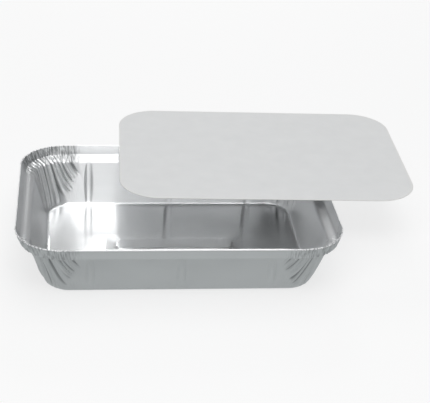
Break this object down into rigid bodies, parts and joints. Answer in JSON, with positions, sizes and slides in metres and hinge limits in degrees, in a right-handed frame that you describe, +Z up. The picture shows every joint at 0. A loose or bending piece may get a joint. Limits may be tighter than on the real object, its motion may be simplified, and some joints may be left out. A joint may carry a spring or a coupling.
{
  "type": "foil food container",
  "caption": "Rectangular pressed aluminium foil tray with wrinkled corners, an upright hemmed flange and a ledge, its loose white card lid lying across two rims.",
  "frame": {"origin": "middle of the tray's base, on the plane it stands on", "axes": "+X along the tray's length, +Y across it towards the back rim that the lid lies on, +Z up"},
  "size_m": [0.2751, 0.2113, 0.0406],
  "materials": {
    "foil": "satin",
    "card": "matte"
  },
  "bodies": {
    "root": {"foil_tray": "foil", "card_lid": "card"}
  },
  "joints": []
}
